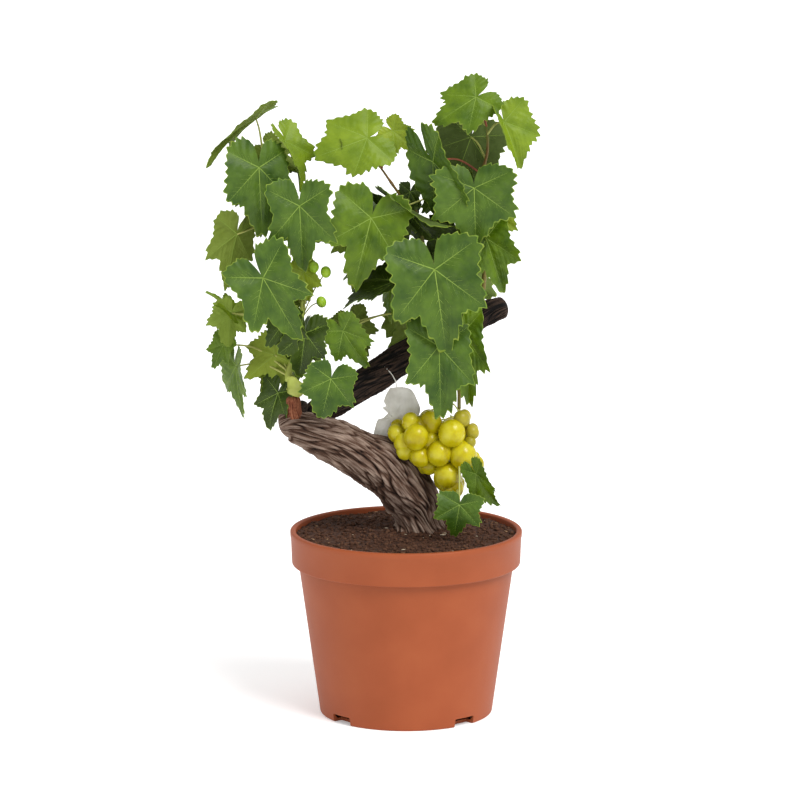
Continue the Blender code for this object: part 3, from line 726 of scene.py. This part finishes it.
def leaf_mesh(leaf):
    """The blade and its ribs as (points, triangles, slot) parts, one unit long with the tip at +Y."""
    turns, smooth, teeth = blade_outline(leaf)
    toothed = [np.clip((t - TOOTHED_FROM) / (1 - TOOTHED_FROM), 0, 1) for t in RINGS]
    flat = [smooth * t * (1 + (teeth - 1) * share) for t, share in zip(RINGS, toothed)]
    x = np.concatenate([[0.0]] + [radius * np.sin(turns) for radius in flat])
    y = np.concatenate([[0.0]] + [radius * np.cos(turns) for radius in flat])
    points = np.concatenate([shape_blade(x, y, HALF_BLADE, leaf), shape_blade(x, y, -HALF_BLADE, leaf)])
    count = len(turns)
    steps = np.arange(count)
    after = (steps + 1) % count
    fan = np.stack([np.zeros(count, int), 1 + after, 1 + steps], 1)
    rings = []
    for ring in range(len(RINGS) - 1):
        inner, outer = 1 + ring * count, 1 + (ring + 1) * count
        rings.append(split_quads(np.stack([inner + steps, inner + after, outer + after, outer + steps], 1)))
    blade = np.concatenate([fan] + rings[:-1])
    edge, total = rings[-1], len(x)
    rim = 1 + (len(RINGS) - 1) * count
    wall = split_quads(np.stack([rim + steps, rim + after, total + rim + after, total + rim + steps], 1))
    parts = [(points, blade, leaf["slot"]), (points, blade[:, ::-1] + total, leaf["slot"] + 1),
             (points, np.concatenate([edge, edge[:, ::-1] + total, wall]), MARGIN_SLOT)]
    return parts + [(*rib_mesh(run, width, leaf), VEIN_SLOT) for run, width in rib_runs(leaf)]


leaf_heaps, stalk_heaps = {}, {}
luck = random.Random(7)


def add_leaf(mass, cane, joint, tip, turn=0.0, wide=1.0, tone="mid", fold=(0.22, 0.18), lobing=0.8,
             stalk="pale"):
    """Hangs a leaf with its vein joint and tip at these pixels and depths. turn 0 faces the viewer."""
    start, end = at(*joint), at(*tip)
    length = np.linalg.norm(end - start)
    way = (end - start) / length
    face = -LOOK - way * np.dot(-LOOK, way)
    face /= np.linalg.norm(face)
    side = np.cross(way, face)
    swing = math.radians(turn)
    face, side = (face * math.cos(swing) + side * math.sin(swing),
                  side * math.cos(swing) - face * math.sin(swing))
    leaf = {"slot": tone_slots[tone], "wide": wide / BLADE_WIDTH, "left": fold[0], "right": fold[1],
            "lobing": lobing, "phase": luck.uniform(0, 6.28)}
    heap = leaf_heaps.setdefault(mass, new_heap())
    reach = math.sin(CURL) / CURL
    for points, faces, slot in leaf_mesh(leaf):
        placed = start + (np.outer(points[:, 0], side) + np.outer(points[:, 1], way)
                          + np.outer(points[:, 2], face)) * length / reach
        heap_up(heap, placed, faces, slot)
    line = cane_lines[cane]
    nearest = line[np.argmin(np.linalg.norm(line - (start + STALK_DROP), axis=1))]
    rise = STALK_RISE * np.linalg.norm(start - nearest)
    middle = (nearest + start) / 2 + np.array((0.0, STALK_BEHIND, rise))
    route = smooth_route((nearest, middle, start - face * STALK_SEAT), STALK_STEPS)
    radii = np.repeat(np.linspace(*STALK_RADII, len(route))[:, None], STALK_SIDES, axis=1)
    stalks = stalk_heaps.setdefault(cane, new_heap())
    heap_up(stalks, *tube(route, radii, STALK_SIDES), slot=0 if stalk == "red" else 1)


def add_pair(mass, cane, joint, tip, back, **looks):
    """A leaf on the viewer's side, and two that it hides: one on the far side and one that faces sideways."""
    add_leaf(mass, cane, joint, tip, **looks)
    across, down = (joint[0] + tip[0]) / 2, (joint[1] + tip[1]) / 2
    drift = luck.uniform(-2, 2)
    near = (across + (joint[0] - across) * NEAR_SHARE + drift, down + (joint[1] - down) * NEAR_SHARE)
    far = (across + (tip[0] - across) * FAR_SHARE + drift, down + (tip[1] - down) * FAR_SHARE)
    depth = back + luck.uniform(-0.01, 0.01)
    add_leaf(mass, cane, (*near, depth - 0.012), (*far, depth + 0.008), turn=180 + luck.uniform(-18, 18),
             wide=0.8 * looks.get("wide", 1.0), tone=luck.choice(("blue", "mid", "mid", "lit_bright")))
    add_leaf(mass, cane, (across + drift, near[1], 0.004), (across - drift, far[1], 0.020),
             turn=luck.choice((80, -80)) + luck.uniform(-8, 8), wide=1.1, tone=luck.choice(("blue", "mid")))


LEFT, MIDDLE, RIGHT, BUNCH = "left_cane", "middle_cane", "right_cane", "bunch_stalk"
add_leaf("left_top_leaves", LEFT, joint=(256, 119, 0.004), tip=(201, 156, -0.004),
         turn=103, wide=0.95, fold=(-0.1, 0.3))
add_pair("left_upper_leaves", LEFT, joint=(259, 167.5, -0.030), tip=(262, 236, -0.040),
         tone="blue", wide=0.95, fold=(-0.5, 0.1), lobing=0.35, back=0.045)
add_leaf("left_top_leaves", LEFT, joint=(285, 141, -0.002), tip=(312, 186, -0.006),
         turn=-52, wide=0.8, tone="lit_bright", fold=(0.3, 0.5))
add_leaf("left_top_leaves", LEFT, joint=(270, 150, 0.026), tip=(296, 172, 0.030), turn=170)
add_pair("left_upper_leaves", LEFT, joint=(299.5, 206, -0.045), tip=(303, 274, -0.050),
         tone="blue", wide=0.92, lobing=0.95, back=0.040)
add_leaf("left_upper_leaves", LEFT, joint=(237, 234, -0.020), tip=(222, 286, -0.012), turn=140, wide=0.95)
add_pair("middle_top_leaves", MIDDLE, joint=(367, 138, -0.004), tip=(315, 158, -0.016),
         tone="lit_bright", wide=1.12, turn=-8, fold=(0.25, -0.55), lobing=0.4, stalk="red", back=0.034)
add_leaf("middle_top_leaves", MIDDLE, joint=(393, 131, 0.002), tip=(417, 151, 0.000),
         tone="backlit_yellow", wide=0.95, stalk="red")
add_pair("middle_leaves", MIDDLE, joint=(371.3, 218.2, -0.030), tip=(352.6, 290, -0.038),
         wide=1.05, lobing=0.85, back=0.048)
add_leaf("middle_leaves", MIDDLE, joint=(410, 192, 0.006), tip=(404, 216, 0.004), tone="shaded_dark")
add_leaf("middle_leaves", MIDDLE, joint=(410, 213, 0.004), tip=(402, 247, 0.000),
         turn=150, wide=0.7, tone="shaded_dark")
add_pair("right_top_leaves", RIGHT, joint=(476, 97, -0.012), tip=(434, 124, -0.022),
         wide=0.95, fold=(0.1, -0.5), lobing=0.5, stalk="red", back=0.036)
add_leaf("right_top_leaves", RIGHT, joint=(471, 137, 0.022), tip=(452, 190, 0.018),
         turn=180, wide=1.25, tone="shaded_dark", lobing=0.3)
add_leaf("right_top_leaves", RIGHT, joint=(504, 122, -0.008), tip=(524, 168, -0.014),
         turn=-20, wide=1.08, tone="lit_bright", fold=(0.2, 1.0), lobing=0.3)
add_leaf("right_upper_leaves", RIGHT, joint=(433, 162, -0.020), tip=(474, 249, -0.030),
         turn=42, wide=0.55, tone="blue", lobing=0.2, fold=(0.25, 0.1), stalk="red")
add_pair("right_upper_leaves", RIGHT, joint=(474, 188, -0.036), tip=(476, 247, -0.044),
         tone="blue", wide=1.3, lobing=0.45, back=0.046)
add_leaf("right_upper_leaves", RIGHT, joint=(494, 214, 0.000), tip=(503, 253, -0.004),
         tone="backlit_yellow", wide=0.9)
add_leaf("right_upper_leaves", RIGHT, joint=(440, 193, 0.010), tip=(443, 227, 0.006), tone="shaded_dark")
add_leaf("right_upper_leaves", RIGHT, joint=(404, 207, -0.010), tip=(477, 251, -0.018),
         turn=76, wide=0.8, tone="shaded_dark", lobing=0.2)
add_leaf("right_upper_leaves", RIGHT, joint=(455, 236, 0.020), tip=(448, 292, 0.020), tone="shaded_dark")
add_leaf("front_leaves", RIGHT, joint=(486, 238, -0.008), tip=(505, 296, -0.014), wide=0.8)
add_pair("front_leaves", MIDDLE, joint=(434.6, 269.5, -0.050), tip=(447, 356, -0.060),
         tone="blue", wide=1.02, lobing=0.75, back=0.060)
add_leaf("bunch_leaves", BUNCH, joint=(463, 333, -0.018), tip=(471, 410, -0.020), wide=0.55)
add_leaf("bunch_leaves", BUNCH, joint=(439, 346, -0.040), tip=(441, 420, -0.050),
         tone="blue", wide=0.86, lobing=0.6)
add_leaf("back_leaves", MIDDLE, joint=(420, 300, 0.066), tip=(424, 372, 0.074), turn=180, wide=0.95)
add_leaf("back_leaves", RIGHT, joint=(456, 268, 0.060), tip=(468, 334, 0.066),
         turn=172, tone="blue", wide=0.9)
add_leaf("back_leaves", MIDDLE, joint=(412, 330, 0.056), tip=(404, 372, 0.060), turn=186, wide=0.9)
add_leaf("middle_low_leaves", MIDDLE, joint=(343, 331, -0.032), tip=(366, 370, -0.036),
         wide=0.95, turn=22, lobing=0.7)
add_leaf("middle_low_leaves", MIDDLE, joint=(396, 281, -0.006), tip=(339, 300, -0.012),
         turn=66, wide=1.1, tone="shaded_dark", lobing=0.3)
add_leaf("middle_low_leaves", MIDDLE, joint=(393, 284, 0.000), tip=(386, 322, -0.002), turn=60, wide=0.8)
add_leaf("middle_low_leaves", MIDDLE, joint=(352, 322, 0.030), tip=(366, 356, 0.034), turn=180)
add_pair("left_lower_leaves", LEFT, joint=(263, 278, -0.062), tip=(302, 345, -0.060),
         tone="blue", wide=0.86, lobing=1.0, fold=(0.1, 0.1), back=0.036)
add_pair("left_lower_leaves", LEFT, joint=(305, 333, -0.028), tip=(299, 380, -0.032),
         tone="shaded_dark", wide=0.98, back=0.030)
add_leaf("left_lower_leaves", LEFT, joint=(284, 322, -0.030), tip=(291, 362, -0.034), tone="shaded_dark")
add_leaf("left_lower_leaves", LEFT, joint=(303, 272, -0.010), tip=(309, 303, -0.012),
         tone="backlit_yellow", wide=0.9)
add_leaf("left_lower_leaves", LEFT, joint=(275, 355, -0.014), tip=(247, 376, -0.010),
         turn=168, wide=1.3, tone="backlit_yellow")
add_leaf("left_lower_leaves", LEFT, joint=(277, 352, -0.006), tip=(287, 391, -0.004),
         turn=160, wide=0.7, tone="backlit_yellow")
add_leaf("left_bottom_leaves", LEFT, joint=(272, 362, 0.004), tip=(262, 398, 0.002),
         turn=170, wide=0.8, tone="backlit_yellow")
add_leaf("left_bottom_leaves", LEFT, joint=(278, 393, -0.012), tip=(264, 431, -0.014),
         tone="shaded_dark", wide=0.9, turn=20)
add_leaf("left_bottom_leaves", LEFT, joint=(236, 366, -0.014), tip=(237, 421, -0.010), turn=58, wide=0.8)
add_leaf("left_tip_leaves", LEFT, joint=(232, 313, -0.020), tip=(224, 346, -0.022),
         turn=150, wide=1.25, tone="lit_bright")
add_leaf("left_tip_leaves", LEFT, joint=(231, 312, -0.018), tip=(210, 288, -0.020),
         turn=58, wide=0.8, tone="lit_bright")
add_leaf("left_tip_leaves", LEFT, joint=(224, 344, -0.018), tip=(211, 369, -0.018), turn=20, wide=0.9)
add_leaf("spur_leaves", LEFT, joint=(331, 379, -0.045), tip=(321, 420, -0.048),
         wide=1.25, tone="blue", lobing=0.5)
add_leaf("low_leaves", BUNCH, joint=(459.5, 505, -0.046), tip=(454, 538, -0.048), wide=1.3, tone="blue")
add_leaf("low_leaves", BUNCH, joint=(476, 474, -0.036), tip=(495, 511, -0.040),
         turn=32, wide=0.62, lobing=0.3)
for mass, heap in leaf_heaps.items():
    make_piece(mass + "_foliage", heap, leaf_materials, (mass,))
for cane, heap in stalk_heaps.items():
    make_piece(cane + "_stalks", heap, [red_stalk, pale_stalk])


# The bunch: ripe yellow-green grapes of uneven size crowd round one stalk, with small hard olive ones among
# them and short stems between. A few unripe berries hang in the left of the crown. Each is (across, down,
# radius) in pixels.
BERRY_PIXEL = 0.000943
BERRIES = ((451.8, 433.1, 12.5), (462.7, 455.1, 12.7), (447.7, 474.9, 12.5), (439.1, 453.2, 11.5),
           (430.2, 441.1, 10.0), (416.1, 437.0, 11.5), (403.4, 442.7, 9.0), (396.3, 433.4, 8.0),
           (410.4, 421.6, 8.0), (430.5, 422.6, 10.5), (420.0, 457.0, 9.0), (405.3, 449.7, 8.5),
           (429.0, 466.0, 7.5), (475.4, 464.7, 8.0), (454.0, 488.0, 9.0))
OLIVE_BERRIES = ((461.7, 418.8, 7.4), (472.3, 431.8, 6.0), (465.9, 434.4, 6.0), (470.0, 442.0, 5.5))
UNRIPE = ((325.8, 272.0, 5.2), (314.0, 267.0, 5.0), (321.4, 302.0, 5.0))
LOW_LEAF_STALK = ((457, 490, -0.020), (459, 504, -0.044))
FULLNESS = 1.1
INNER_FULLNESS = 0.95
FAR_FULLNESS = 0.9
BERRY_LENGTHS = (1.04, 1.2)
BUNCH_DEPTH = -0.020
BUNCH_SPREAD = 0.010
BIG_BERRY = 11
BIG_FORWARD = 0.004
STEM_TOP = (0.042, 0.002)
STEM_RISE = 0.012
STEM_RADIUS = 0.0007
TRUNK_SIDE = 0.020
CLEAR_OF_TRUNK = 0.026
UNRIPE_DEPTH = -0.012
UNRIPE_JOINT = cane_lines[LEFT][60]
UNRIPE_STEM_RADIUS = 0.0006
SPINE_RADIUS = 0.0012
bpy.ops.mesh.primitive_uv_sphere_add(segments=26, ring_count=16, radius=1.0)
ball = bpy.context.object
apply_modifier(ball, "TRIANGULATE")
ball_points = np.array([v.co for v in ball.data.vertices])
ball_faces = np.array([p.vertices for p in ball.data.polygons])
bpy.data.objects.remove(ball)
bunch, stems = new_heap(), new_heap()


def berry(heap, middle, radius, slot):
    """One grape, a little longer than wide, with its own lean."""
    lean = Vector((luck.uniform(-0.6, 0.3), luck.uniform(-0.4, 0.4), 1)).to_track_quat("Z", "Y").to_matrix()
    shape = ball_points * (1.0, 1.0, luck.uniform(*BERRY_LENGTHS)) * radius
    heap_up(heap, shape @ np.array(lean).T + middle, ball_faces, slot)


for number, (across, down, size) in enumerate(BERRIES + OLIVE_BERRIES):
    forward = BIG_FORWARD if size > BIG_BERRY else 0.0
    middle = at(across, down, BUNCH_DEPTH + BUNCH_SPREAD * ((number * 7) % 5) / 4 - forward)
    slot = 1 if number >= len(BERRIES) else 0
    berry(bunch, middle, size * BERRY_PIXEL * FULLNESS, slot)
    inner = middle + np.array((luck.uniform(-0.007, 0.005), 0.010, luck.uniform(-0.007, 0.007)))
    berry(bunch, inner, size * BERRY_PIXEL * INNER_FULLNESS, slot)
    top = np.array((*STEM_TOP, middle[2] + STEM_RISE))
    route = smooth_route((top, (top + middle) / 2 + (0, 0, 0.003), middle), 5)
    heap_up(stems, *even_tube(route, STEM_RADIUS, 7))
    aside, away = luck.uniform(-0.004, 0.004), 0.020 + luck.uniform(0, 0.006)
    behind = middle + np.array((aside, away, luck.uniform(-0.004, 0.004)))
    if middle[0] < TRUNK_SIDE:
        behind[0] = max(behind[0], CLEAR_OF_TRUNK)
    berry(bunch, behind, size * BERRY_PIXEL * FAR_FULLNESS, slot)
for across, down, size in UNRIPE:
    middle = at(across, down, UNRIPE_DEPTH)
    berry(bunch, middle, size * BERRY_PIXEL, 2)
    route = smooth_route((UNRIPE_JOINT, (middle + UNRIPE_JOINT) / 2 + (0, 0, 0.004), middle), 6)
    heap_up(stems, *even_tube(route, UNRIPE_STEM_RADIUS, 7))
spine = smooth_route((CANES["bunch_stalk"][-1][:3], (0.047, 0.0, 0.272), (0.043, -0.002, 0.250),
                      (0.044, -0.006, 0.226), *[at(*pixel) for pixel in LOW_LEAF_STALK]), 6)
heap_up(stems, *even_tube(spine, SPINE_RADIUS, 8))
make_piece("grapes", bunch, [
    finish("ripe_grape", (paint(154, 138, 12), paint(180, 168, 22), paint(196, 188, 54)),
           grain=70.0, roughness=0.22, bump=0.05, fine=500.0, glow=0.35),
    finish("olive_grape", (paint(140, 132, 30), paint(170, 158, 50)),
           grain=60.0, roughness=0.35, bump=0.05, fine=500.0, glow=0.25),
    finish("unripe_grape", (paint(126, 164, 32), paint(158, 190, 58)),
           grain=90.0, roughness=0.35, bump=0.05, fine=500.0, glow=0.25),
], ("grape_bunch",))
make_piece("bunch_stems", stems, [pale_stalk])


# One dead leaf hangs under the arm on a thread of its old stalk: thin as paper, grey-white and crumpled. A
# dry tendril by the arm's end is part of the same mesh. Places are (across, down) in pixels, with a depth in
# metres where a third number stands.
DRY_OUTLINE = ((390, 388), (386, 395), (384, 402), (388, 405), (382.5, 408), (389, 411), (383, 418),
               (378, 419.5), (375, 428), (374, 436), (380, 444), (387, 449), (396.5, 460), (403, 446),
               (410, 432), (420, 412), (417, 400), (411.5, 390), (402, 387))
DRY_DEPTH = 0.003
DRY_THICKNESS = 0.00025
DRY_LEVELS = (0.0, 0.3, 0.6, 0.85, 1.0)
DRY_THREAD = ((378, 362, 0.004), (389, 371, -0.002), (395, 380, 0.0), (397, 389, DRY_DEPTH))
DRY_TENDRIL = ((474, 328, 0.022), (481, 330, 0.018), (488, 331, 0.014), (492, 338, 0.012))
THREAD_RADIUS = 0.0005
TENDRIL_RADIUS = 0.0003


def crumple(across, down):
    """How far back the dead leaf bends here."""
    broad = 0.004 * noise.noise(Vector((across * 0.10, down * 0.05, 1)))
    return broad + 0.001 * noise.noise(Vector((across, down, 9)) * 0.4)


dry = new_heap()
edge = smooth_route(DRY_OUTLINE + DRY_OUTLINE[:1], 4)[:-1]
heart = edge.mean(axis=0)
flat = np.concatenate([[heart]] + [heart + (edge - heart) * level for level in DRY_LEVELS[1:]])
front = np.array([at(p[0], p[1], DRY_DEPTH + crumple(p[0], p[1])) for p in flat])
rear = front + (0.0, DRY_THICKNESS, 0.0)
count, total = len(edge), len(flat)
steps = np.arange(count)
after = (steps + 1) % count
faces = [np.stack([np.zeros(count, int), 1 + steps, 1 + after], 1)]
for ring in range(len(DRY_LEVELS) - 2):
    inner, outer = 1 + ring * count, 1 + (ring + 1) * count
    faces.append(split_quads(np.stack([inner + steps, outer + steps, outer + after, inner + after], 1)))
faces = np.concatenate(faces)
rim = 1 + (len(DRY_LEVELS) - 2) * count
wall = split_quads(np.stack([rim + after, rim + steps, total + rim + steps, total + rim + after], 1))
heap_up(dry, np.concatenate([front, rear]), np.concatenate([faces, faces[:, ::-1] + total, wall[:, ::-1]]))
for pixels, radius in ((DRY_THREAD, THREAD_RADIUS), (DRY_TENDRIL, TENDRIL_RADIUS)):
    heap_up(dry, *even_tube(smooth_route([at(*pixel) for pixel in pixels], 8), radius, 6))
make_piece("dry_leaf", dry, [
    finish("dry_paper", (paint(196, 193, 184), paint(226, 224, 217)),
           grain=90.0, roughness=0.8, bump=0.4, fine=700.0)])


# A white studio: the plant stands on a wide pale floor in even light from all round, with one broad soft
# light from above, the front and the right, which leaves a faint shadow on the left.
FLOOR_SIZE = 80.0
FLOOR_GLOW = 0.28
WHITE = (1.0, 1.0, 1.0, 1.0)
SKY_STRENGTH = 0.75
LAMP_ENERGY = 2.3
LAMP_WIDTH = math.radians(28)
LAMP_TURN = (math.radians(40), math.radians(16), math.radians(22))
bpy.ops.object.select_all(action="DESELECT")
bpy.ops.mesh.primitive_plane_add(size=FLOOR_SIZE)
floor = bpy.context.object
floor.name = "studio_floor"
floor.data.materials.append(finish("studio_white", (paint(250, 250, 250), paint(252, 252, 252)),
                                   grain=2.0, roughness=0.9, bump=0.0, fine=20.0))
floor_shader = floor.data.materials[0].node_tree.nodes["Principled BSDF"]
floor_shader.inputs["Emission Color"].default_value = WHITE
floor_shader.inputs["Emission Strength"].default_value = FLOOR_GLOW
world = bpy.data.worlds.new("studio")
bpy.context.scene.world = world
world.use_nodes = True
world.node_tree.nodes["Background"].inputs["Color"].default_value = WHITE
world.node_tree.nodes["Background"].inputs["Strength"].default_value = SKY_STRENGTH
lamp = bpy.data.lights.new("broad_light", "SUN")
lamp.energy = LAMP_ENERGY
lamp.angle = LAMP_WIDTH
sun = bpy.data.objects.new("broad_light", lamp)
sun.rotation_euler = LAMP_TURN
bpy.context.collection.objects.link(sun)
